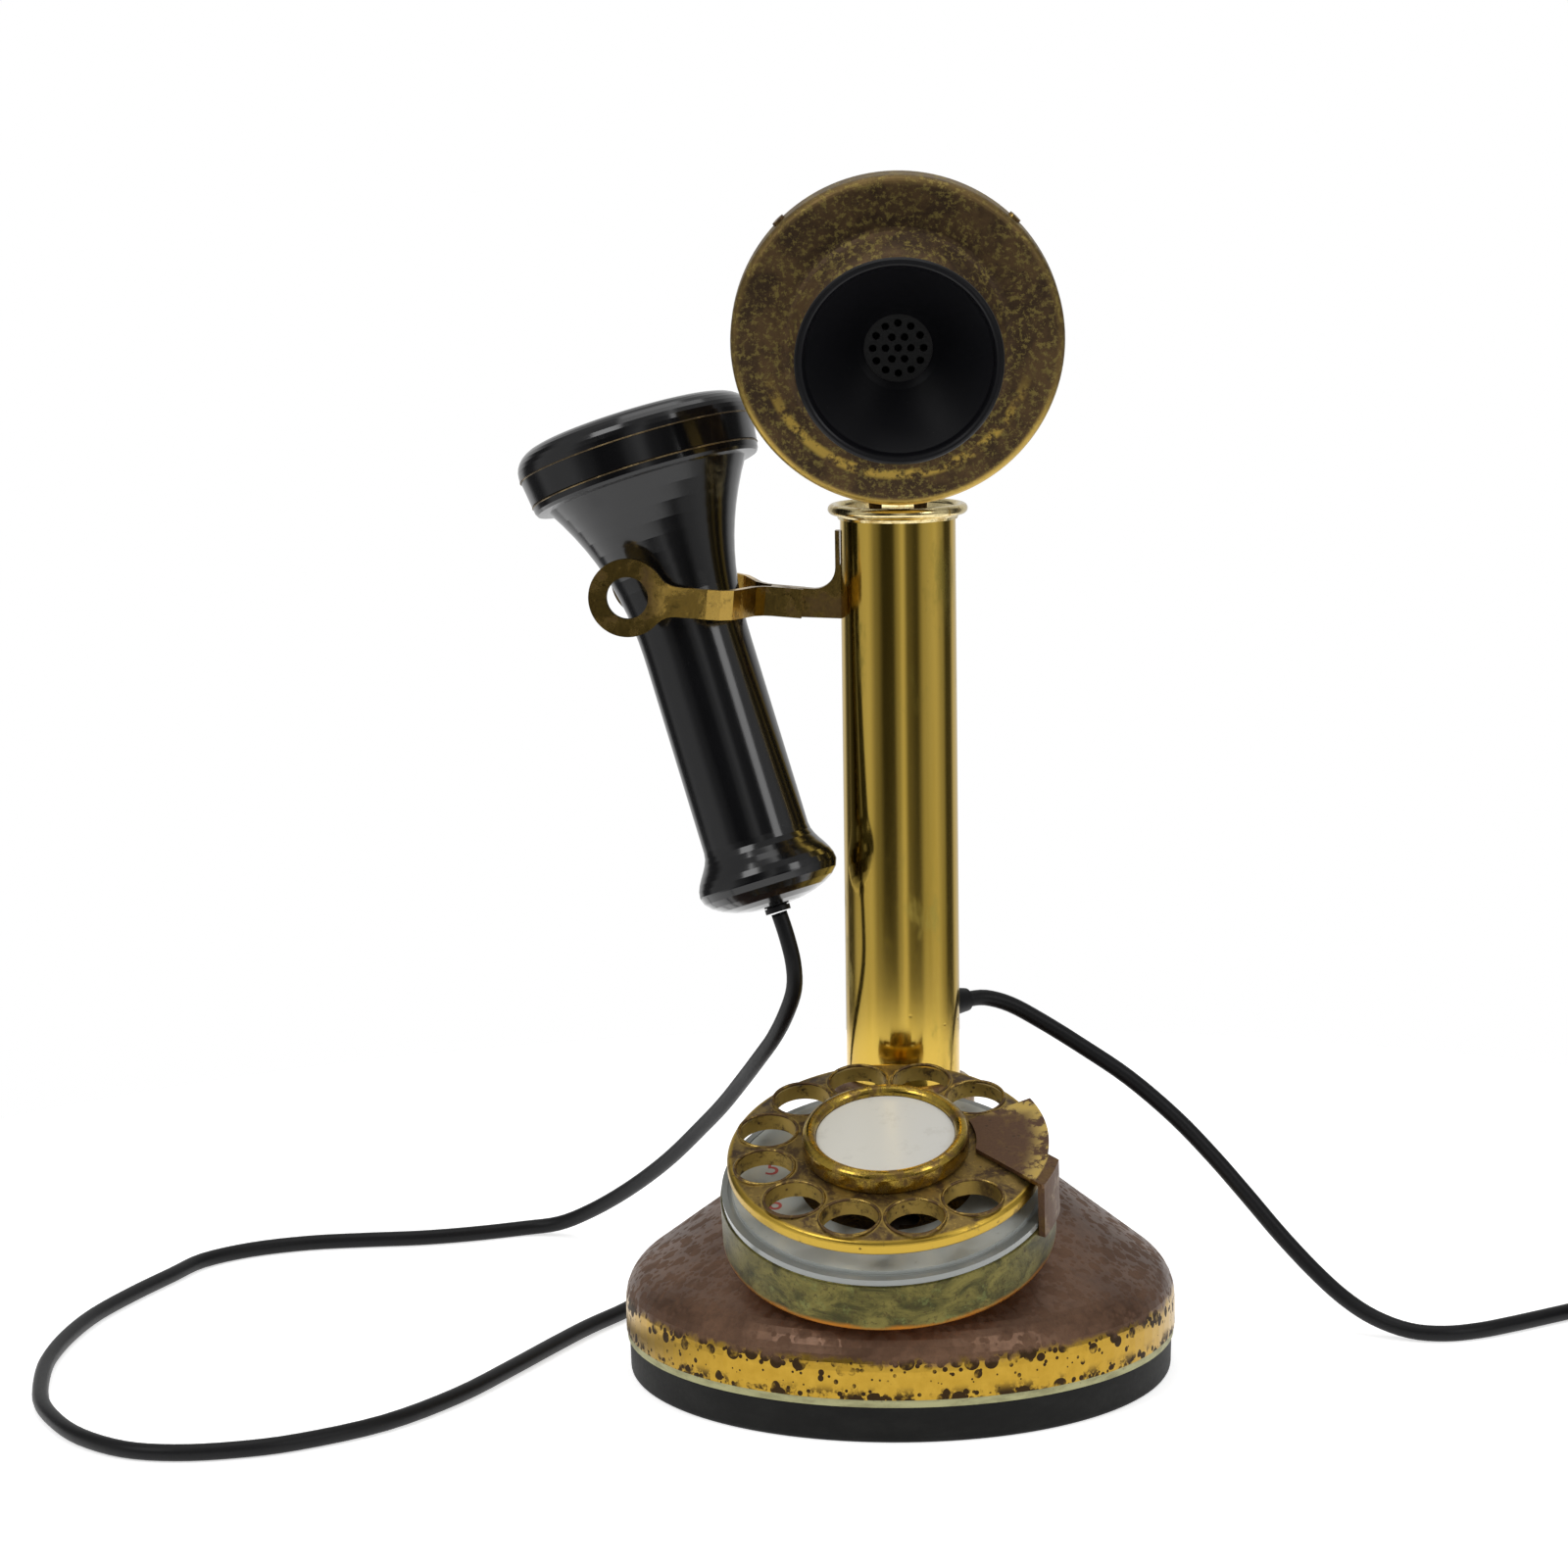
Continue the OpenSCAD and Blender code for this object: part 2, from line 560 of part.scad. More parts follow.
module dial_cup() color([0.5, 0.5, 0.25]) difference() {
    dial_frame() rotate_extrude($fn = 120)
        polygon(concat(
            arc(cup_r - 1.2, cup_floor + 1.2, 1.2, -90, 0, 4),
            arc(cup_r - 0.6, cup_rim - 0.6, 0.6, 0, 90, 4),
            [[cup_r - 1.6, cup_rim], [cup_r - 1.6, cup_floor + 1.6], [0, cup_floor + 1.6], [0, cup_floor]]));
    neck_room();
}

// Seat under the cup, let into the shell's slope
module dial_saddle() color([0.35, 0.26, 0.16])
    dial_frame() translate([0, 0, cup_floor - 13]) cylinder(r = cup_r - 6, h = 13, $fn = 96);

module mechanism_plate() color([0.25, 0.24, 0.22]) difference() {
    dial_frame() translate([0, 0, frame_plate_z]) difference() {
        cylinder(r = cup_r - 1.65, h = 1.5);
        translate([0, 0, -1]) cylinder(r = shaft_r + slip, h = 4);
        translate([pinion_x, 0, -1]) cylinder(r = 1.5 + slip, h = 4);
    }
    neck_room();
}

// Brass carrier of the pulse contacts, with a tongue over the main gear
module mechanism_bracket() color([0.75, 0.55, 0.25]) dial_frame() {
    translate([4, -30, frame_plate_z + 1.5]) cube([9, 4, 3.3]);
    translate([4, -30, -11.9]) cube([9, 13, 0.7]);
}

// Enamelled plate for the numbers, with a groove and a flange at its rim
module number_plate() color([0.82, 0.83, 0.8]) dial_frame() rotate_extrude($fn = 120)
    polygon([[21.8, plate_level - 1.4], [21.8, plate_level], [38.4, plate_level], [38.4, -10.7], [39.5, -10.7],
             [39.5, -10.4], [41, -10.4], [41, cup_rim], [38, cup_rim], [38, plate_level - 1.4]]);

// Flat plate over the wheel's blank part, hung from a leg down the cup's side
module finger_stop() color([0.45, 0.32, 0.16]) dial_frame() {
    translate([0, 0, 0.4]) linear_extrude(1.1) polygon(concat(
        [[38.8, -17.5]], arc(0, 0, 43.2, -24, -9, 5), arc(0, 0, 40, -6, 30, 12), arc(0, 0, 22.3, 27, -6, 12)));
    translate([0, 0, -14]) linear_extrude(15.5)
        polygon(concat(arc(0, 0, cup_r + slip, -24, -9, 5), arc(0, 0, 43.2, -9, -24, 5)));
}

module governor_drum() color([0.6, 0.48, 0.22]) dial_frame() translate([pinion_x, 0, -23.7]) difference() {
    cylinder(r = 8, h = 5.7);
    translate([0, 0, 1]) cylinder(r = 7, h = 6);
}

module governor_rotor() color([0.7, 0.68, 0.6]) dial_frame() translate([pinion_x, 0, -22]) {
    cylinder(r = 1.5, h = gear_z + gear_t + 22);
    translate([-5.8, -1.2, 0]) cube([11.6, 2.4, 2.4]);
    for (s = [-1, 1]) translate([4.3 * s, 0, 0]) cylinder(r = 2, h = 2.4);
}

// Gear outline with straight-sided teeth, wide gaps and a tooth on the X axis
function gear_outline(teeth) =
    let (pitch_r = teeth * gear_module / 2, step = 360 / teeth)
    [for (i = [0:teeth - 1]) each [
        for (c = [[-0.27, -0.75], [-0.12, 0.55], [0.12, 0.55], [0.27, -0.75]])
            let (r = pitch_r + c[1] * gear_module, a = (i + c[0]) * step)
            [r * cos(a), r * sin(a)]]];

module main_gear() color([0.75, 0.6, 0.25]) dial_frame() translate([0, 0, gear_z]) linear_extrude(gear_t)
    difference() {
        polygon(gear_outline(gear_teeth));
        circle(r = shaft_r + 0.02);
        for (k = [0:4]) rotate(72 * k) translate([13.5, 0]) circle(r = 4.5);
    }

module pinion() color([0.7, 0.6, 0.3]) dial_frame() translate([pinion_x, 0, gear_z]) linear_extrude(gear_t)
    difference() {
        rotate(180 / pinion_teeth) polygon(gear_outline(pinion_teeth));
        circle(r = 1.52);
    }

module dial_shaft() color([0.66, 0.6, 0.5]) dial_frame() {
    translate([0, 0, -23]) cylinder(r = shaft_r, h = 21.4);
    translate([0, 0, gear_z + gear_t]) difference() {
        cylinder(r = 8.5, h = -wheel_t - gear_z - gear_t);
        for (k = [0:4]) translate([0, 0, 1.2 + 1.4 * k]) rotate_extrude() translate([8.8, 0]) circle(r = 0.55, $fn = 16);
    }
}

module finger_wheel() color([0.55, 0.42, 0.16]) dial_frame() difference() {
    rotate_extrude($fn = 120)
        polygon(concat(
            [[shaft_r + 0.02, -wheel_t], [seat_r, -wheel_t], [wheel_r - 1.2, -wheel_t - 1]],
            arc(wheel_r - 1, -wheel_t, 1, -90, 0, 4),
            arc(wheel_r - 1.4, -2.2, 1.4, 0, 60, 4),
            [for (i = [4:-1:0]) let (f = i / 5) [31 + 7.2 * f, -1.1 * f * f]],
            [[shaft_r + 0.02, 0]]));
    for (k = [0:dial_holes - 1]) rotate([0, 0, first_hole + digit_step * k])
        translate([hole_circle_r, 0, -10]) cylinder(r = finger_r, h = 20, $fn = 48);
}

module hub_ring() color([0.75, 0.58, 0.16]) dial_frame() rotate_extrude($fn = 96)
    polygon(concat(
        [[card_r + 0.6, 0], [hub_r - 0.4, 0], [hub_r, 0.6], [hub_r, hub_h - 1.7]],
        arc(hub_r - 1.7, hub_h - 1.7, 1.7, 0, 180, 10),
        [[card_r + 0.1, hub_h - 1.9], [card_r + 0.1, hub_h - 2.6], [card_r + 0.6, hub_h - 2.8]]));

module number_card() color([0.84, 0.83, 0.78]) dial_frame()
    cylinder(r = card_r, h = hub_h - 2, $fn = 96);

// ---- Cords ----

module receiver_cord_grommet() color([0.07, 0.07, 0.07]) rotate([0, 0, grommet_turn])
    translate([0, 0, grommet_z]) rotate([0, 90, 0]) {
        translate([0, 0, base_r - 5]) cylinder(r = spigot_r, h = 4.35);
        translate([0, 0, base_r - 0.7]) cylinder(r1 = 3.9, r2 = 3, h = 6.85);
    }

module line_cord_grommet() color([0.07, 0.07, 0.07]) column_frame() rotate([0, 0, line_turn])
    translate([0, 0, line_z]) rotate([0, 90, 0]) {
        translate([0, 0, column_r - 2.4]) cylinder(r = 3.15, h = 3);
        translate([0, 0, column_r + 0.6]) cylinder(r1 = 3.8, r2 = 3, h = 5.2);
    }

module receiver_cord_tube() color([0.06, 0.06, 0.06]) cord_tube(receiver_route);

module line_cord_tube() color([0.06, 0.06, 0.06]) cord_tube(line_route);

module line_cord_tail() color([0.06, 0.06, 0.06]) cord_tube(tail_route);

module line_cord_coil() color([0.06, 0.06, 0.06]) translate([coil_at[0], coil_at[1], coil_lift])
    rotate_extrude() translate([coil_mid - 1.5 * cord_d, 0]) square([3 * cord_d, (coil_rows + 1) * cord_d]);

module cord_tie() color([0.3, 0.3, 0.3]) translate([coil_at[0], coil_at[1], 0]) rotate([0, 0, 250])
    translate([coil_mid, -4, 0]) difference() {
        translate([-1.5 * cord_d - 0.8, 0, 0]) cube([3 * cord_d + 1.6, 8, (coil_rows + 1) * cord_d + 1.6]);
        translate([-1.5 * cord_d - 0.2, -1, coil_lift - 0.1])
            cube([3 * cord_d + 0.4, 10, (coil_rows + 1) * cord_d + 0.2]);
    }

module line_plug() color([0.08, 0.08, 0.08]) translate(plug_at) rotate([0, -90, 0]) {
    cylinder(r1 = 4, r2 = plug_r, h = 7);
    translate([0, 0, 6.9]) cylinder(r = plug_r, h = plug_len - 7);
    for (a = [45:90:315]) rotate([0, 0, a]) translate([5, 0, plug_len - 0.2]) cylinder(r = 1.2, h = 9);
}

foot_ring();
gasket_band();
base_shell();
base_plate();
base_screw(0);  // base_screw_1
base_screw(1);  // base_screw_2
base_screw(2);  // base_screw_3
ballast();
terminal_block();
terminal_screw(0);  // terminal_screw_1
terminal_screw(1);  // terminal_screw_2
neck_collar();
column_tube();
column_collar();
perch();
transmitter_pivot();
hook_pivot_pin();
hook_bracket();
contact_leaf(0);  // contact_leaf_1
contact_leaf(1);  // contact_leaf_2
contact_block();
dial_cup();
dial_saddle();
mechanism_plate();
mechanism_bracket();
number_plate();
finger_stop();
governor_drum();
receiver_cord_grommet();
line_cord_grommet();
receiver_cord_tube();
line_cord_tube();
line_cord_coil();
cord_tie();
line_cord_tail();
line_plug();
dial_shaft();
main_gear();
finger_wheel();
hub_ring();
number_card();
pinion();
governor_rotor();
hook_lever();
hook_front_prong();
hook_back_prong();
hook_rivet();
transmitter_lug();
transmitter_cup();
faceplate();
faceplate_screw(0);  // faceplate_screw_1
faceplate_screw(1);  // faceplate_screw_2
mouthpiece();
mouth_grille();
carbon_capsule();
receiver_shell();
receiver_cap();
receiver_diaphragm();
receiver_magnet();
receiver_tail();
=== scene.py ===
"""Looks for the candlestick telephone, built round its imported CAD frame.

The scene is in metres. Sizes and places on the parts are written in mm, as in the part's source.
"""
import json
import math

import bmesh
import bpy
from mathutils import Euler, Matrix, Vector


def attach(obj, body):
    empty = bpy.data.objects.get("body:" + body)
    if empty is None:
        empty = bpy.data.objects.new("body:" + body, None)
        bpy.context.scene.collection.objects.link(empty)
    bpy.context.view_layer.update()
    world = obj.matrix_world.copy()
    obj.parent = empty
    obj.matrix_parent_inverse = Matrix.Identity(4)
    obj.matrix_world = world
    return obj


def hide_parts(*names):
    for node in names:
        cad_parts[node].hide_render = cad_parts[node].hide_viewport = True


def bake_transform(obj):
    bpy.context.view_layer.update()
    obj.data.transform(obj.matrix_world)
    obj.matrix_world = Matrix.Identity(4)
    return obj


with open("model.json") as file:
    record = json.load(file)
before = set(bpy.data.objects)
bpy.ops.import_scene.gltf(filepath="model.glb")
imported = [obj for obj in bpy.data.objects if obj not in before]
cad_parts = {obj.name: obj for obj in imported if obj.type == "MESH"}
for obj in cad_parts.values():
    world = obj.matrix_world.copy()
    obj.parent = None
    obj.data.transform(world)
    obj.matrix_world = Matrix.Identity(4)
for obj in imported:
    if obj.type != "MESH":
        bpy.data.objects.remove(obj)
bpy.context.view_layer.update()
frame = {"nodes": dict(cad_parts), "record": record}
nodes = frame["nodes"]
MM = 0.001

# Finger holes, in the dial's own frame: first angle, step, circle and radius
FIRST_HOLE, HOLE_STEP, HOLE_CIRCLE, HOLE_R = 47.2, 30, 30.5, 7.0

# Places of the tilted parts: where each one's own origin is, in mm, and its turn in degrees
FRAMES = {
    "row": ((0, 0, 0), (0, 0, 0)),
    "column": ((0, 20, 0), (0, 0, 0)),
    "face": ((2.798, -11.978, 261.5), (98, 0, 5)),
    "dial": ((0, -41, 66.5), (20.5, 0, 0)),
    "receiver": ((-58, 20, 204), (-8.6, -17.4, 0)),
}


def place(name):
    """Matrix from a part's own frame, in mm, to the row frame, in metres."""
    at, turn = FRAMES[name]
    return (Matrix.Translation(Vector(at) * MM)
            @ Euler([math.radians(a) for a in turn]).to_matrix().to_4x4()
            @ Matrix.Scale(MM, 4))


# ---- Camera ----

CAMERA_AT = (0.0787, -1.047, 0.316)
YAW, PITCH, ROLL = math.radians(-5.82), math.radians(8.95), math.radians(-0.83)
SENSOR_MM, LENS_MM = 36, 96.8
NEAREST, FARTHEST = 0.05, 20

forward = Vector((
    math.sin(YAW) * math.cos(PITCH),
    math.cos(YAW) * math.cos(PITCH),
    -math.sin(PITCH)))
level = Vector((math.cos(YAW), -math.sin(YAW), 0))
upright = level.cross(forward)
right = level * math.cos(ROLL) + upright * math.sin(ROLL)
top = -level * math.sin(ROLL) + upright * math.cos(ROLL)
camera = bpy.data.objects.new("camera", bpy.data.cameras.new("camera"))
camera.data.sensor_width = SENSOR_MM
camera.data.lens = LENS_MM
camera.data.clip_start, camera.data.clip_end = NEAREST, FARTHEST
camera.matrix_world = Matrix((
    (right.x, top.x, -forward.x, CAMERA_AT[0]),
    (right.y, top.y, -forward.y, CAMERA_AT[1]),
    (right.z, top.z, -forward.z, CAMERA_AT[2]),
    (0, 0, 0, 1)))
bpy.context.scene.collection.objects.link(camera)
bpy.context.scene.camera = camera
bpy.context.scene.view_settings.view_transform = "Standard"


# ---- Materials ----

COAT_ROUGHNESS = 0.12
TARNISH_METAL = 0.75  # how metallic the tarnish still is


class Nodes:
    """Short calls that make and link the nodes of one shader tree."""

    def __init__(self, tree):
        self.tree = tree

    def make(self, kind, **settings):
        node = self.tree.nodes.new(kind)
        for key, value in settings.items():
            setattr(node, key, value)
        return node

    def put(self, value, socket):
        """Give a socket a number, a colour or another node's output."""
        if isinstance(value, bpy.types.NodeSocket):
            self.tree.links.new(value, socket)
        elif isinstance(value, tuple) and len(value) == 3 and socket.type == "RGBA":
            socket.default_value = (*value, 1)
        else:
            socket.default_value = value

    def math(self, op, a, b=0.0, clamp=False):
        node = self.make("ShaderNodeMath", operation=op, use_clamp=clamp)
        self.put(a, node.inputs[0])
        self.put(b, node.inputs[1])
        return node.outputs[0]

    def plus(self, a, b):
        return self.math("ADD", a, b)

    def minus(self, a, b):
        return self.math("SUBTRACT", a, b)

    def times(self, a, b):
        return self.math("MULTIPLY", a, b)

    def lerp(self, share, a, b):
        """Number between a and b."""
        return self.plus(self.times(share, b - a), a)

    def ramp(self, x, a, b, shape="SMOOTHSTEP"):
        """0 below a, 1 above b; falls instead when a is above b."""
        node = self.make("ShaderNodeMapRange", interpolation_type=shape)
        low, high = (a, b) if a < b else (b, a)
        self.put(x, node.inputs["Value"])
        node.inputs["From Min"].default_value = low
        node.inputs["From Max"].default_value = high
        node.inputs["To Min"].default_value = 0 if a < b else 1
        node.inputs["To Max"].default_value = 1 if a < b else 0
        return node.outputs[0]

    def mix(self, share, a, b):
        """Colour between a and b."""
        node = self.make("ShaderNodeMix", data_type="RGBA")
        self.put(share, node.inputs[0])
        self.put(a, node.inputs[6])
        self.put(b, node.inputs[7])
        return node.outputs[2]


class Mat(Nodes):
    """A procedural material whose patterns are placed in a part's own frame, in mm.

    x, y and z are a point's place in that frame, and r is its distance from the frame's z axis.
    """

    def __init__(self, name, where="row"):
        self.material = bpy.data.materials.new(name)
        self.material.use_nodes = True
        super().__init__(self.material.node_tree)
        self.shader = self.tree.nodes["Principled BSDF"]
        at, turn = FRAMES[where]
        mapping = self.make("ShaderNodeMapping", vector_type="TEXTURE")
        mapping.inputs["Location"].default_value = [a * MM for a in at]
        mapping.inputs["Rotation"].default_value = [math.radians(a) for a in turn]
        mapping.inputs["Scale"].default_value = (MM, MM, MM)
        self.put(self.make("ShaderNodeTexCoord").outputs["Object"], mapping.inputs["Vector"])
        self.point = mapping.outputs["Vector"]
        split = self.make("ShaderNodeSeparateXYZ")
        self.put(self.point, split.inputs[0])
        self.x, self.y, self.z = split.outputs
        self.r = self.math("SQRT", self.plus(self.times(self.x, self.x), self.times(self.y, self.y)))

    def noise(self, size, detail=6.0, rough=0.6, stretch=(1, 1, 1), distort=0.0):
        """Cloudy pattern with features of about size mm, drawn out along the axes by stretch."""
        scaled = self.make("ShaderNodeMapping")
        self.put(self.point, scaled.inputs["Vector"])
        scaled.inputs["Scale"].default_value = [1 / (size * s) for s in stretch]
        node = self.make("ShaderNodeTexNoise")
        self.put(scaled.outputs[0], node.inputs["Vector"])
        node.inputs["Scale"].default_value = 1
        node.inputs["Detail"].default_value = detail
        node.inputs["Roughness"].default_value = rough
        node.inputs["Distortion"].default_value = distort
        return node.outputs[0]

    def spots(self, size):
        """Distance from scattered points about size mm apart, 0 at each point."""
        node = self.make("ShaderNodeTexVoronoi")
        self.put(self.point, node.inputs["Vector"])
        node.inputs["Scale"].default_value = 1 / size
        return node.outputs["Distance"]

    def finish(self, color, rough, metal=0.0, height=None, bump=0.2, depth=0.05, coat=0.0, gloss=0.5):
        """Set the surface and return the material. Depth is that of the bumps, in mm."""
        self.put(color, self.shader.inputs["Base Color"])
        self.put(rough, self.shader.inputs["Roughness"])
        self.put(metal, self.shader.inputs["Metallic"])
        self.shader.inputs["Coat Weight"].default_value = coat
        self.shader.inputs["Coat Roughness"].default_value = COAT_ROUGHNESS
        self.shader.inputs["Specular IOR Level"].default_value = gloss
        if height is not None:
            node = self.make("ShaderNodeBump")
            node.inputs["Strength"].default_value = bump
            node.inputs["Distance"].default_value = depth * MM
            self.put(height, node.inputs["Height"])
            self.put(node.outputs[0], self.shader.inputs["Normal"])
        return self.material


def aged(name, where, clean, tarnish, cover, rough, size, speck=None, bright=None, bright_color=None,
         pits=0.5):
    """Metal with tarnish over a share of it (cover 0 to 1), pits, and an optional bright mask: worn patches
    on the finger stop, a painted highlight on the hook.
    """
    m = Mat(name, where)
    cloud = m.noise(size, 9, 0.66, distort=0.5)
    fine = m.noise(size / 7, 5, 0.7)
    level = 0.5 + 0.3 * (cover - 0.5)
    soft = 0.09
    mask = m.ramp(cloud, level + soft, level - soft)
    color = m.mix(mask, clean, tarnish)
    color = m.mix(m.times(m.ramp(fine, 0.35, 0.7), 0.35), color, tuple(c * 0.45 for c in tarnish))
    if speck:
        flecks = m.ramp(m.noise(size / 4, 7, 0.75), 0.56, 0.62)
        color = m.mix(m.times(flecks, speck[1]), color, speck[0])
    dots = m.ramp(m.spots(3.2), 0.16, 0.1)
    dots = m.times(dots, pits)
    color = m.mix(dots, color, (0.05, 0.035, 0.02))
    roughness = m.lerp(mask, *rough)
    metal = m.lerp(mask, 1.0, TARNISH_METAL)
    # The bright mask is worn patches on the finger stop and a painted highlight on the hook
    if bright is not None:
        shine = bright(m)
        color = m.mix(shine, color, bright_color)
        metal = m.math("MAXIMUM", metal, shine)
    height = m.minus(m.times(fine, 0.6), dots)
    return m.finish(color, roughness, metal, height, 0.35, 0.12)


def shell_look():
    """Brown patina on the slope, polished gold band below with dark round spots along both its edges."""
    m = Mat("shell_bronze")
    wander = m.lerp(m.noise(9, 8, 0.7), -4.5, 4.5)
    up = m.plus(m.z, wander)
    brown_mask = m.ramp(up, 19.2, 21.6)
    cloud = m.noise(26, 7, 0.6)
    grain = m.noise(1.6, 6, 0.75)
    brown = m.mix(m.ramp(cloud, 0.36, 0.66), (0.12, 0.062, 0.035), (0.2, 0.108, 0.062))
    brown = m.mix(m.times(m.ramp(grain, 0.4, 0.75), 0.4), brown, (0.05, 0.028, 0.018))
    rub = m.ramp(m.noise(5, 8, 0.75), 0.62, 0.7)
    brown = m.mix(m.times(rub, 0.22), brown, (0.34, 0.21, 0.09))
    gold = m.mix(m.noise(3, 5, 0.6), (0.36, 0.21, 0.022), (0.54, 0.34, 0.05))
    edge = m.math("MAXIMUM", m.ramp(m.z, 14.4, 11.8), m.ramp(m.z, 14.5, 20.0))
    reach = m.lerp(edge, 0.14, 0.46)
    big = m.math("LESS_THAN", m.spots(4.2), reach)
    small = m.math("LESS_THAN", m.spots(1.9), m.times(reach, 0.85))
    rust = m.math("MAXIMUM", big, small)
    rust = m.times(rust, m.ramp(m.noise(7, 4, 0.6), 0.36, 0.5))
    blotch = m.times(m.ramp(m.noise(5, 8, 0.7), 0.5, 0.58), m.ramp(m.z, 15.0, 11.5))
    rust = m.math("MAXIMUM", rust, blotch)
    gold = m.mix(rust, gold, (0.05, 0.03, 0.014))
    color = m.mix(brown_mask, gold, brown)
    rough = m.plus(m.lerp(brown_mask, 0.28, 0.36), m.times(rust, 0.3))
    height = m.minus(m.times(grain, 0.5), rust)
    return m.finish(color, rough, m.lerp(brown_mask, 1.0, 0.6), height, 0.16, 0.08)


def column_look():
    """Polished brass tube: long faint streaks, a few pits and scratches, darker brown towards its foot."""
    m = Mat("polished_brass", "column")
    streak = m.noise(3.2, 6, 0.6, stretch=(1, 1, 22))
    cloud = m.noise(14, 7, 0.65, stretch=(1, 1, 2.5))
    color = m.mix(streak, (0.62, 0.41, 0.06), (0.80, 0.56, 0.12))
    stain = m.times(m.ramp(cloud, 0.56, 0.68), 0.55)
    color = m.mix(stain, color, (0.36, 0.3, 0.06))
    dots = m.times(m.ramp(m.spots(6.5), 0.1, 0.05), m.ramp(m.noise(16, 3, 0.5), 0.5, 0.6))
    color = m.mix(dots, color, (0.09, 0.05, 0.02))
    # Darker brown towards the foot of the column
    low = m.ramp(m.z, 96.0, 70.0)
    color = m.mix(m.times(low, 0.3), color, (0.34, 0.2, 0.04))
    rough = m.plus(m.lerp(streak, 0.09, 0.17), m.times(stain, 0.25))
    height = m.minus(m.times(streak, 0.12), dots)
    return m.finish(color, rough, 1.0, height, 0.25, 0.06)


def face_look():
    """Dark brown plate with gold and green speckle, worn to brass along its lower rim."""
    m = Mat("dark_patina", "face")
    cloud = m.noise(13, 9, 0.66, distort=0.4)
    grain = m.noise(1.7, 7, 0.78)
    color = m.mix(m.ramp(cloud, 0.38, 0.64), (0.05, 0.028, 0.013), (0.12, 0.07, 0.028))
    flecks = m.times(m.ramp(grain, 0.51, 0.57), m.ramp(m.noise(9, 5, 0.6), 0.3, 0.52))
    color = m.mix(m.times(flecks, 0.85), color, (0.25, 0.19, 0.05))
    dark = m.ramp(m.noise(2.6, 8, 0.75), 0.6, 0.67)
    color = m.mix(m.times(dark, 0.7), color, (0.025, 0.017, 0.012))
    rim = m.ramp(m.r, 38.7, 40.4)
    below = m.ramp(m.plus(m.y, m.lerp(cloud, -9, 9)), -4.0, -24.0)
    arc = m.times(m.times(m.ramp(m.r, 31.2, 32.2), m.ramp(m.r, 34.6, 33.4)), below)
    arc = m.times(arc, m.ramp(m.noise(4, 7, 0.7), 0.44, 0.56))
    worn = m.math("MAXIMUM", m.times(rim, m.lerp(below, 0.14, 0.85)), arc, clamp=True)
    color = m.mix(worn, color, (0.62, 0.42, 0.09))
    rough = m.minus(m.lerp(grain, 0.42, 0.62), m.times(worn, 0.2))
    height = m.minus(m.times(flecks, 0.5), dark)
    return m.finish(color, rough, m.lerp(worn, 0.62, 1.0), height, 0.4, 0.12)


def black_look(name, where, base, rough, coat, scratch, gloss, stretch=(1, 1, 1)):
    """Black moulded plastic: faint mottle, fine scratches and a little dust."""
    m = Mat(name, where)
    mottle = m.noise(11, 5, 0.6)
    hair = m.noise(0.9, 4, 0.7, stretch=stretch)
    color = m.mix(mottle, base, tuple(c * 1.7 + 0.001 for c in base))
    dust = m.times(m.ramp(m.noise(1.1, 3, 0.8), 0.69, 0.74), scratch)
    color = m.mix(dust, color, (0.22, 0.22, 0.21))
    roughness = m.plus(m.lerp(hair, rough - 0.04, rough + 0.08), m.times(dust, 0.3))
    return m.finish(color, roughness, 0.0, hair, 0.08, 0.03, coat, gloss)


def wheel_look():
    """Brown antique brass, bright and pitted on the outer band and round the finger holes."""
    m = Mat("wheel_brass", "dial")
    cloud = m.noise(8, 9, 0.68, distort=0.5)
    grain = m.noise(1.4, 6, 0.75)
    color = m.mix(m.ramp(cloud, 0.43, 0.57), (0.07, 0.04, 0.018), (0.22, 0.145, 0.038))
    flecks = m.ramp(grain, 0.54, 0.63)
    color = m.mix(m.times(flecks, 0.4), color, (0.5, 0.34, 0.08))
    # Distance from the nearest finger hole's middle, by the law of cosines
    angle = m.minus(m.math("ARCTAN2", m.y, m.x), math.radians(FIRST_HOLE))
    turn = m.math("DIVIDE", angle, math.radians(HOLE_STEP))
    off = m.times(m.minus(turn, m.math("ROUND", turn)), math.radians(HOLE_STEP))
    square = m.minus(m.plus(m.times(m.r, m.r), HOLE_CIRCLE ** 2),
                     m.times(m.times(m.r, 2 * HOLE_CIRCLE), m.math("COSINE", off)))
    far = m.math("SQRT", m.math("MAXIMUM", square, 0.0))
    # The part of the wheel by +X has no holes, so no worn rims either
    rim = m.times(m.ramp(far, HOLE_R + 1.5, HOLE_R + 0.5), m.ramp(m.math("DIVIDE", m.x, m.r), 0.88, 0.84))
    rim = m.times(rim, m.ramp(m.noise(4, 7, 0.7), 0.36, 0.5))
    color = m.mix(m.times(rim, 0.8), color, (0.55, 0.38, 0.09))
    outer = m.times(m.ramp(m.r, 37.6, 38.5), m.ramp(m.noise(5, 7, 0.7), 0.3, 0.46))
    color = m.mix(outer, color, (0.5, 0.33, 0.05))
    blank = m.times(m.ramp(m.x, 22.0, 30.0), m.ramp(m.math("ABSOLUTE", m.minus(m.y, 4.0)), 12, 5))
    color = m.mix(m.times(blank, 0.75), color, (0.13, 0.075, 0.04))
    dots = m.times(m.ramp(m.spots(2.4), 0.2, 0.12), m.ramp(m.noise(6, 4, 0.6), 0.48, 0.6))
    color = m.mix(m.times(dots, 0.85), color, (0.06, 0.035, 0.015))
    rough = m.minus(m.lerp(grain, 0.38, 0.55), m.times(outer, 0.16))
    height = m.minus(m.times(grain, 0.7), dots)
    return m.finish(color, rough, m.lerp(outer, 0.68, 1.0), height, 0.35, 0.12)


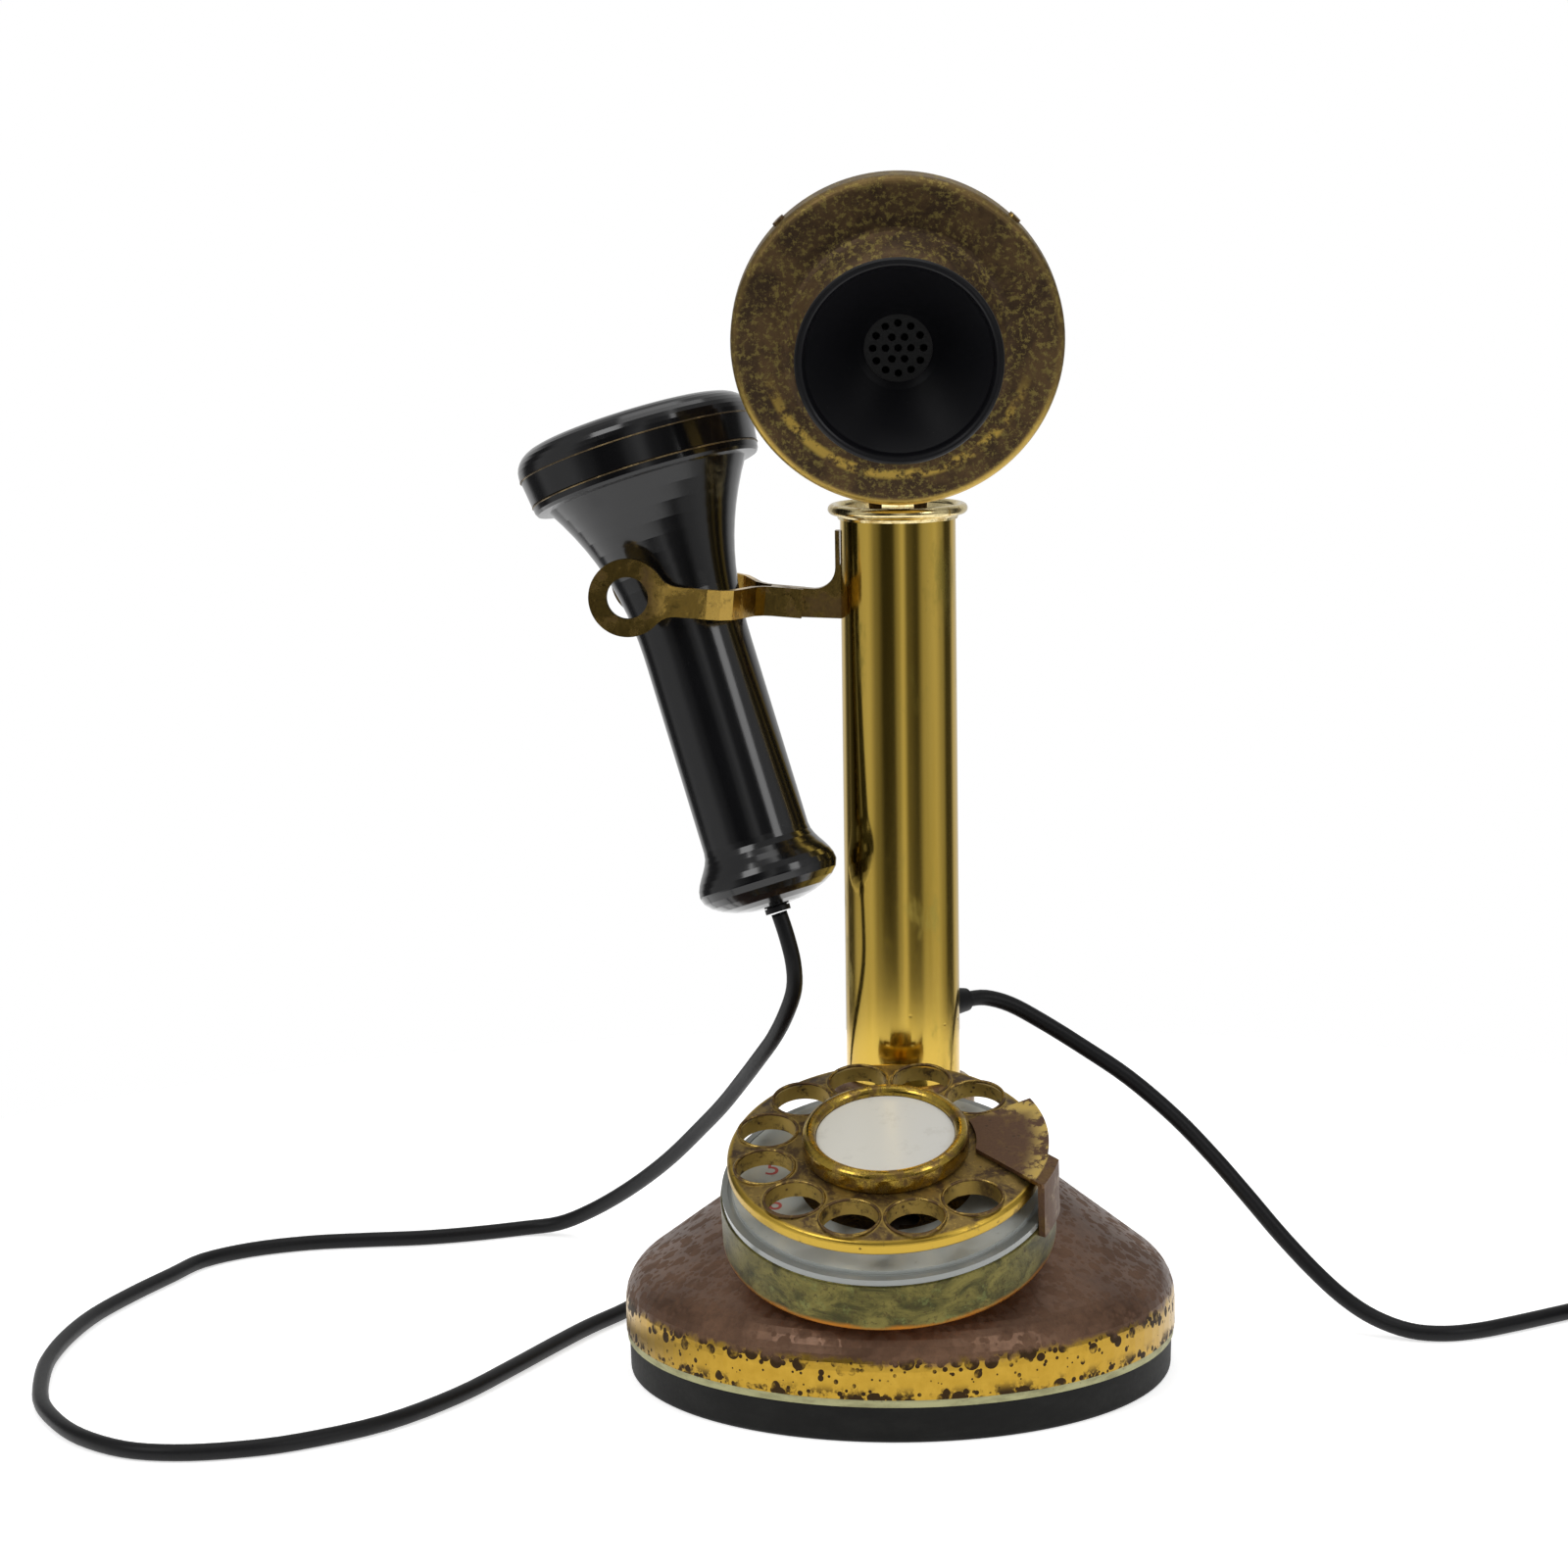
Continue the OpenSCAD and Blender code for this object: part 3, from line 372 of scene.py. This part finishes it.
def cup_look():
    """Green-gold cup side with darker stains, and a painted reflection of brass as a bright orange band
    along its lower edge.
    """
    m = Mat("verdigris_brass", "dial")
    cloud = m.noise(10, 9, 0.68, stretch=(1, 1, 0.6), distort=0.6)
    grain = m.noise(1.3, 6, 0.75)
    color = m.mix(m.ramp(cloud, 0.34, 0.66), (0.045, 0.042, 0.014), (0.17, 0.145, 0.04))
    green = m.ramp(m.noise(4.5, 7, 0.7), 0.56, 0.66)
    color = m.mix(m.times(green, 0.5), color, (0.16, 0.18, 0.06))
    rust = m.times(m.ramp(grain, 0.54, 0.62), 0.6)
    color = m.mix(rust, color, (0.05, 0.035, 0.014))
    # Painted reflection: a bright orange band of reflected brass along the cup's lower edge, fully metallic
    # there
    low = m.ramp(m.plus(m.z, m.lerp(cloud, -1.5, 1.5)), -23.2, -25.0)
    color = m.mix(low, color, (0.45, 0.17, 0.02))
    return m.finish(color, m.lerp(grain, 0.26, 0.48), m.lerp(low, 0.85, 1.0),
                    m.minus(grain, rust), 0.3, 0.1)


def foot_look():
    """Matt black moulded foot with scuffs and dust near the table."""
    m = Mat("foot_rubber")
    grain = m.noise(1.2, 6, 0.75)
    cloud = m.noise(14, 6, 0.65, stretch=(1, 1, 0.4))
    color = m.mix(m.ramp(cloud, 0.4, 0.7), (0.004, 0.004, 0.0035), (0.009, 0.009, 0.008))
    scuff = m.times(m.ramp(m.noise(2.2, 8, 0.8, stretch=(1, 1, 0.3)), 0.63, 0.7), 0.3)
    color = m.mix(scuff, color, (0.06, 0.06, 0.055))
    return m.finish(color, m.lerp(grain, 0.5, 0.72), 0.0, grain, 0.25, 0.08, gloss=0.2)


def band_look():
    """Pale sealing band with grime in it."""
    m = Mat("seal_cream")
    cloud = m.noise(8, 7, 0.7, stretch=(1, 1, 0.3))
    color = m.mix(m.ramp(cloud, 0.4, 0.66), (0.42, 0.41, 0.2), (0.27, 0.26, 0.12))
    stain = m.times(m.ramp(m.noise(2, 7, 0.75), 0.6, 0.68), 0.6)
    color = m.mix(stain, color, (0.09, 0.07, 0.03))
    return m.finish(color, m.lerp(cloud, 0.42, 0.6), 0.0, cloud, 0.15, 0.05)


def plate_look():
    """White enamel, slightly grey with age; its rim reads as a clear grey ring."""
    m = Mat("enamel", "dial")
    cloud = m.noise(9, 6, 0.6)
    color = m.mix(cloud, (0.46, 0.49, 0.46), (0.58, 0.60, 0.57))
    rim = m.ramp(m.r, 38.2, 38.8)
    color = m.mix(m.times(rim, 0.8), color, (0.2, 0.21, 0.2))
    grime = m.times(m.ramp(m.noise(3, 7, 0.75), 0.6, 0.68), 0.35)
    color = m.mix(grime, color, (0.22, 0.2, 0.15))
    return m.finish(color, m.lerp(cloud, 0.12, 0.24), 0.0, cloud, 0.06, 0.03, 0.6)


def card_look():
    """Blank card under its window, a little cooler on one side."""
    m = Mat("card", "dial")
    fibre = m.noise(0.7, 5, 0.75)
    color = m.mix(m.ramp(m.x, -8.0, 16.0), (0.80, 0.78, 0.7), (0.76, 0.76, 0.73))
    color = m.mix(m.times(m.ramp(m.noise(6, 6, 0.7), 0.55, 0.68), 0.18), color, (0.42, 0.4, 0.33))
    return m.finish(color, m.lerp(fibre, 0.3, 0.42), 0.0, fibre, 0.05, 0.02, 0.5)


def plain_look(name, base, rough, metal):
    """Small or hidden parts: base colour with mottle and fine grain."""
    m = Mat(name)
    cloud = m.noise(4, 6, 0.65)
    grain = m.noise(0.8, 5, 0.7)
    color = m.mix(cloud, tuple(c * 0.6 for c in base), tuple(min(1, c * 1.2) for c in base))
    return m.finish(color, m.lerp(grain, rough - 0.06, rough + 0.1), metal, grain, 0.15, 0.04)


def arm_highlight(m):
    """Painted highlight: a bright orange strip along the middle of the hook's arm, by where the receiver
    rests.
    """
    return m.times(m.times(m.ramp(m.x, -62.0, -56.0), m.ramp(m.x, -36.0, -40.0)),
                  m.ramp(m.noise(3, 6, 0.7), 0.3, 0.5))


def stop_wear(m):
    """Bright patches along the finger stop's outer edge and its end by the first hole."""
    edge = m.math("MAXIMUM", m.ramp(m.r, 34.0, 40.0), m.ramp(m.y, 11.0, 16.0))
    edge = m.times(edge, m.times(m.ramp(m.r, 40.6, 40.1), m.ramp(m.z, 0.6, 1.2)))
    return m.times(edge, m.ramp(m.noise(4, 7, 0.7), 0.46, 0.54))


# By the record's material slots, then by the nodes that look different from the rest of their slot
BRASS, BROWN = (0.44, 0.3, 0.08), (0.12, 0.07, 0.03)
LOOKS = {
    "foot_rubber": foot_look(),
    "seal_cream": band_look(),
    "shell_bronze": shell_look(),
    "polished_brass": column_look(),
    "pale_brass": aged("pale_brass", "column", (0.86, 0.72, 0.38), (0.55, 0.38, 0.12), 0.25,
                       (0.12, 0.3), 4, pits=0.2),
    "aged_brass": aged("aged_brass", "row", BRASS, BROWN, 0.6, (0.25, 0.5), 5),
    "verdigris_brass": cup_look(),
    "dark_patina": face_look(),
    # The hook carries a painted highlight: a bright orange strip along its arm
    "hook_brass": aged("hook_brass", "row", (0.36, 0.24, 0.06), (0.17, 0.105, 0.035), 0.35,
                       (0.22, 0.4), 9, bright=arm_highlight, bright_color=(0.8, 0.52, 0.12), pits=0.3),
    "bakelite": black_look("bakelite", "receiver", (0.003, 0.003, 0.0035), 0.14, 0.3, 0.12, 0.4, (1, 1, 12)),
    "mouth_black": black_look("mouth_black", "face", (0.003, 0.003, 0.004), 0.34, 0.05, 0.12, 0.2),
    "enamel": plate_look(),
    "card": card_look(),
    "cord_rubber": black_look("cord_rubber", "row", (0.004, 0.004, 0.0045), 0.42, 0.0, 0.12, 0.22),
    "steel": plain_look("steel", (0.32, 0.31, 0.3), 0.35, 1.0),
    "iron": plain_look("iron", (0.06, 0.06, 0.062), 0.6, 0.8),
    "brown_phenolic": plain_look("brown_phenolic", (0.05, 0.03, 0.02), 0.4, 0.0),
    "tie_grey": plain_look("tie_grey", (0.12, 0.12, 0.12), 0.55, 0.0),
}
BY_NODE = {
    "finger_wheel": wheel_look(),
    "hub_ring": aged("hub_gold", "dial", (0.5, 0.34, 0.055), (0.2, 0.12, 0.035), 0.4,
                     (0.16, 0.36), 4, pits=0.35),
    "neck_collar": aged("neck_bronze", "column", (0.5, 0.34, 0.1), (0.2, 0.11, 0.055), 0.6, (0.25, 0.45), 6),
    "finger_stop": aged("stop_bronze", "dial", (0.2, 0.12, 0.05), (0.13, 0.07, 0.04), 0.7,
                        (0.34, 0.5), 5, bright=stop_wear, bright_color=(0.62, 0.45, 0.13)),
    "mouth_grille": plain_look("grille_black", (0.004, 0.004, 0.004), 0.7, 0.0),
    "carbon_capsule": plain_look("capsule_dark", (0.002, 0.002, 0.002), 0.8, 0.0),
    "transmitter_cup": aged("cup_bronze", "face", (0.34, 0.22, 0.08), (0.12, 0.065, 0.035), 0.65,
                            (0.3, 0.52), 8, speck=((0.42, 0.3, 0.1), 0.5)),
}

SHARP = math.radians(32)  # edges bent more than this stay crisp
for part in frame["record"]["subparts"]:
    node = nodes[part["node"]]
    node.data.materials.clear()
    node.data.materials.append(BY_NODE.get(part["node"], LOOKS[part["material_slot"]]))
    node.data.shade_smooth()
    node.data.set_sharp_from_angle(angle=SHARP)


# ---- Making pieces ----

def piece(name, bm, look):
    """Object made from bm, which is used up, in its look and material slot."""
    mesh = bpy.data.meshes.new(name)
    bm.to_mesh(mesh)
    bm.free()
    mesh.shade_smooth()
    obj = bpy.data.objects.new(name, mesh)
    obj.data.materials.append(look)
    bpy.context.scene.collection.objects.link(obj)
    return obj


def tube(bm, points, radius, sides, closed=False):
    """Round tube along points; its ends are capped unless it closes on itself."""
    points = [Vector(p) for p in points]
    count = len(points)
    rings, side = [], None
    for i, p in enumerate(points):
        before = points[i - 1] if (i or closed) else p
        after = points[(i + 1) % count] if (i < count - 1 or closed) else p
        way = (after - before).normalized()
        if side is None:
            side = way.orthogonal().normalized()
        side = (side - way * side.dot(way)).normalized()
        other = way.cross(side)
        rings.append([bm.verts.new(p + radius * (math.cos(a) * side + math.sin(a) * other))
                      for a in (2 * math.pi * k / sides for k in range(sides))])
    for i in range(count if closed else count - 1):
        a, b = rings[i], rings[(i + 1) % count]
        for k in range(sides):
            j = (k + 1) % sides
            bm.faces.new((a[k], a[j], b[j], b[k]))
    if not closed:
        bm.faces.new(rings[0][::-1])
        bm.faces.new(rings[-1])


def ring_points(where, radius, height, count=96, middle=(0, 0)):
    """Points of a level circle in a part's own frame."""
    m = place(where)
    return [m @ Vector((middle[0] + radius * math.cos(a), middle[1] + radius * math.sin(a), height))
            for a in (2 * math.pi * k / count for k in range(count))]


# ---- Cords ----

# In mm. The three routes have the same points as in the part's source; the coil's turns are made here.
CORD_D = 4.2
CORD_SIDES = 14
RECEIVER_ROUTE = [
    (-30.4, 6, 116), (-28.4, 5.2, 110), (-26.8, 5, 103), (-26.9, 7, 96),
    (-29.5, 12, 88.5), (-33.5, 20, 80.5), (-39, 31, 72), (-45, 44, 63),
    (-52, 58, 53), (-60, 72, 43), (-69, 85, 32.5), (-78, 96, 23.5),
    (-88, 106, 15), (-98, 114, 8), (-107, 118, 3.6), (-117, 118, 2.1),
    (-131, 111, 2.1), (-145, 106, 2.1), (-160, 103, 2.1), (-176, 99, 2.1),
    (-191, 91, 2.1), (-202, 79, 2.1), (-207, 64, 2.1), (-213, 45, 2.1),
    (-218, 25, 2.1), (-220, 7, 2.1), (-220, -11, 2.1), (-218, -28, 2.1),
    (-212, -52, 2.1), (-204, -68, 2.1), (-194, -81, 2.1), (-181, -90, 2.1),
    (-168, -92, 2.1), (-154, -89, 2.1), (-140, -82, 2.1), (-122, -66, 2.1),
    (-108, -43, 2.1), (-98, -18, 2.1), (-91, 1, 2.1), (-84, 19, 2.1),
    (-76, 36, 2.1), (-71, 52, 2.1), (-66, 67, 2.1), (-57, 79, 2.6),
    (-45, 83, 3.6), (-36, 77, 4.6), (-32.1, 69, 5)]
LINE_ROUTE = [
    (15.8, 33.2, 88), (20.5, 36.6, 87.8), (27, 38.6, 85.6), (35, 39.6, 81),
    (46, 40, 74), (58, 40, 65.8), (70, 40, 55.4), (80, 39.8, 44.9),
    (89, 39.2, 34.5), (97.5, 37.8, 24.6), (106, 35, 16), (114, 31.5, 9.4),
    (122, 28, 5), (131, 24.8, 2.6), (140, 24.2, 2.1), (149, 27.6, 2.1),
    (158, 34, 2.1), (168, 42, 2.1), (179, 51, 2.1), (189, 58.6, 2.2),
    (197, 63.5, 2.6), (204, 66.7, 2.9)]
TAIL_ROUTE = [
    (241, 40, 15.5), (241, 28, 15.7), (240.5, 17, 14.4), (238, 8, 11.6),
    (232, 0, 9.6), (224, -4, 9), (217.5, -4.5, 9)]
COIL_AT = (216, 40)
# Winding of the coil: degrees travelled, radius and height at each change of lane or row
COIL_KEYS = [
    (0, 29.2, 2.9), (240, 29.2, 2.9), (325, 25, 2.9), (600, 25, 2.9), (685, 20.8, 2.9),
    (880, 20.8, 2.9), (940, 20.8, 7.1), (1150, 20.8, 7.1), (1230, 25, 7.1), (1510, 25, 7.1),
    (1590, 29.2, 7.1), (1810, 29.2, 7.1), (1860, 29.2, 11.3), (2085, 29.2, 11.3),
    (2165, 25, 11.3), (2445, 25, 11.3), (2525, 20.8, 11.3), (2740, 20.8, 11.3),
    (2795, 20.8, 15.5), (2990, 20.8, 15.5), (3070, 25, 15.5), (3354.2, 25, 15.5)]
COIL_START = 114.2  # degrees, where the cord comes in
COIL_STEP = 6  # degrees between points


def smooth_route(points, per=4):
    """Points of a smooth curve through the route's own points."""
    pts = [Vector(p) for p in points]
    made = []
    for i in range(len(pts) - 1):
        before, after = pts[max(i - 1, 0)], pts[min(i + 2, len(pts) - 1)]
        here, there = pts[i], pts[i + 1]
        for k in range(per):
            u = k / per
            made.append(0.5 * (2 * here + (there - before) * u
                               + (2 * before - 5 * here + 4 * there - after) * u * u
                               + (3 * here - before - 3 * there + after) * u ** 3))
    return made + [pts[-1]]


def coil_points():
    """Clockwise turns seen from above, lane by lane and row by row."""
    made = []
    travel = COIL_STEP
    while travel < COIL_KEYS[-1][0]:
        for (t0, r0, z0), (t1, r1, z1) in zip(COIL_KEYS, COIL_KEYS[1:]):
            if t0 <= travel <= t1:
                f = (travel - t0) / (t1 - t0)
                f = f * f * (3 - 2 * f)
                break
        a = math.radians(COIL_START - travel)
        r = r0 + (r1 - r0) * f
        z = z0 + (z1 - z0) * f
        made.append(Vector((COIL_AT[0] + r * math.cos(a), COIL_AT[1] + r * math.sin(a), z)))
        travel += COIL_STEP
    return made


def cord_piece(name, points):
    """Round cord along points given in metres."""
    bm = bmesh.new()
    tube(bm, points, CORD_D / 2 * MM, CORD_SIDES)
    return piece(name, bm, LOOKS["cord_rubber"])


receiver_path = [p * MM for p in smooth_route(RECEIVER_ROUTE)]
line_path = [p * MM for p in smooth_route(LINE_ROUTE)[:-1] + coil_points() + smooth_route(TAIL_ROUTE)]
receiver_cord = cord_piece("receiver_cord", receiver_path)
line_cord = cord_piece("line_cord", line_path)
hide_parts("receiver_cord_tube")
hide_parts("line_cord_tube", "line_cord_coil", "line_cord_tail")
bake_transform(receiver_cord)
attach(line_cord, "root")


# ---- Details ----

HOLES = 10
THREAD_SIDES = 8  # of the thin round threads that make lips and seams


def on_circle(radius, degrees):
    a = math.radians(degrees)
    return radius * math.cos(a), radius * math.sin(a)


# Rolled lips round the finger holes
LIP_R, LIP_OUT, LIP_LEVEL = 0.42, 0.35, -0.1
bm = bmesh.new()
for k in range(HOLES):
    spot = on_circle(HOLE_CIRCLE, FIRST_HOLE + HOLE_STEP * k)
    tube(bm, ring_points("dial", HOLE_R + LIP_OUT, LIP_LEVEL, 48, spot), LIP_R * MM, THREAD_SIDES,
         closed=True)
lips = piece("finger_hole_lips", bm, LOOKS["aged_brass"])
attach(lips, "dial")

# Red digits 1 to 0 on the number plate
ink = Mat("digit_red", "dial")
wear = ink.noise(0.8, 5, 0.7)
digit_ink = ink.finish(ink.mix(wear, (0.42, 0.05, 0.05), (0.5, 0.12, 0.1)), 0.35, 0.0, wear, 0.05, 0.02)
PLATE_LEVEL, DIGIT_SIZE = -9.5, 8.0
DIGIT_CIRCLE, DIGIT_TURN = 29.0, 5.4
INK_LIFT, INK_DEPTH = 0.04, 0.03
bm = bmesh.new()
for k in range(HOLES):
    spot = on_circle(DIGIT_CIRCLE, FIRST_HOLE + HOLE_STEP * k + DIGIT_TURN)
    text = bpy.data.curves.new("digit", "FONT")
    text.body = str((k + 1) % 10)
    text.size = DIGIT_SIZE
    text.extrude = INK_DEPTH
    text.align_x, text.align_y = "CENTER", "CENTER"
    holder = bpy.data.objects.new("digit", text)
    mesh = bpy.data.meshes.new_from_object(holder)
    mesh.transform(place("dial") @ Matrix.Translation((*spot, PLATE_LEVEL + INK_LIFT)))
    bm.from_mesh(mesh)
    bpy.data.objects.remove(holder)
    bpy.data.curves.remove(text)
    bpy.data.meshes.remove(mesh)
digits = piece("dial_digits", bm, digit_ink)
digits.data.shade_flat()
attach(digits, "root")

# Tan seam lines round the receiver's head: radius and height of each
SEAMS = ((31.12, 31.0), (30.0, 23.9))
SEAM_R = 0.2
seam_look = aged("seam_tan", "receiver", (0.3, 0.22, 0.11), (0.1, 0.07, 0.035), 0.6, (0.3, 0.5), 6)
bm = bmesh.new()
for radius, height in SEAMS:
    tube(bm, ring_points("receiver", radius, height), SEAM_R * MM, THREAD_SIDES, closed=True)
seam = piece("receiver_seams", bm, seam_look)
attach(seam, "receiver")


# ---- Floor and light ----

FLOOR_RADIUS, FLOOR_GREY, FLOOR_GLOW = 0.4, 0.86, 0.62
WHITE = (1, 1, 1)

bm = bmesh.new()
bmesh.ops.create_circle(bm, cap_ends=True, segments=96, radius=FLOOR_RADIUS)
floor_mesh = bpy.data.meshes.new("floor")
bm.to_mesh(floor_mesh)
bm.free()
floor = bpy.data.objects.new("floor", floor_mesh)
bpy.context.scene.collection.objects.link(floor)
pale = Mat("floor_pale")
pale.put(WHITE, pale.shader.inputs["Emission Color"])
pale.put(FLOOR_GLOW, pale.shader.inputs["Emission Strength"])
floor.data.materials.append(pale.finish((FLOOR_GREY, FLOOR_GREY, FLOOR_GREY), 0.85))


def soft_box(name, at, aim, size, power):
    """Rectangular area light at one point, facing another."""
    light = bpy.data.lights.new(name, "AREA")
    light.shape = "RECTANGLE"
    light.size, light.size_y = size
    light.energy = power
    obj = bpy.data.objects.new(name, light)
    obj.location = at
    obj.rotation_mode = "QUATERNION"
    obj.rotation_quaternion = (Vector(aim) - Vector(at)).to_track_quat("-Z", "Y")
    bpy.context.scene.collection.objects.link(obj)


soft_box("key", (-0.9, -1.0, 1.3), (0, 0, 0.12), (0.6, 0.9), 7)
soft_box("fill", (1.1, -0.8, 0.9), (0, 0, 0.12), (0.45, 0.9), 4)
soft_box("overhead", (0, 0.1, 1.6), (0, 0, 0.1), (1.2, 1.2), 6)

# What the metal reflects: light and dark parts of a room, by degrees round from the viewer's side,
# and an even grey from TOP_FROM up to TOP_FULL, as shares of straight up. The camera sees plain white.
ROOM = [(-180, 0.7), (-142, 0.62), (-128, 0.06), (-114, 0.06), (-98, 0.42), (-60, 0.55), (-42, 0.2),
        (-26, 0.03), (-8, 0.04), (2, 0.3), (12, 0.6), (22, 0.12), (40, 0.05), (56, 0.4), (82, 0.55),
        (100, 0.32), (112, 0.05), (126, 0.06), (142, 0.6), (180, 0.7)]
TOP_GREY, TOP_FROM, TOP_FULL = 0.42, 0.35, 0.85

world = bpy.data.worlds.new("studio")
bpy.context.scene.world = world
world.use_nodes = True
sky = Nodes(world.node_tree)
way = sky.make("ShaderNodeSeparateXYZ")
sky.put(sky.make("ShaderNodeTexCoord").outputs["Generated"], way.inputs[0])
turn = sky.math("ARCTAN2", way.outputs[0], sky.times(way.outputs[1], -1.0))
turn = sky.plus(sky.math("DIVIDE", turn, 2 * math.pi), 0.5)
room = sky.make("ShaderNodeValToRGB")
room.color_ramp.interpolation = "EASE"
stops = room.color_ramp.elements
for degrees, grey in ROOM[1:-1]:
    stops.new((degrees + 180) / 360).color = (grey, grey, grey, 1)
stops[0].color = stops[-1].color = (ROOM[0][1],) * 3 + (1,)
sky.put(turn, room.inputs[0])
high = sky.ramp(way.outputs[2], TOP_FROM, TOP_FULL, "LINEAR")
lit = sky.mix(high, room.outputs[0], (TOP_GREY, TOP_GREY, TOP_GREY))
camera_ray = sky.make("ShaderNodeLightPath").outputs["Is Camera Ray"]
background = sky.tree.nodes["Background"]
sky.put(sky.mix(camera_ray, lit, WHITE), background.inputs["Color"])
background.inputs["Strength"].default_value = 1.0
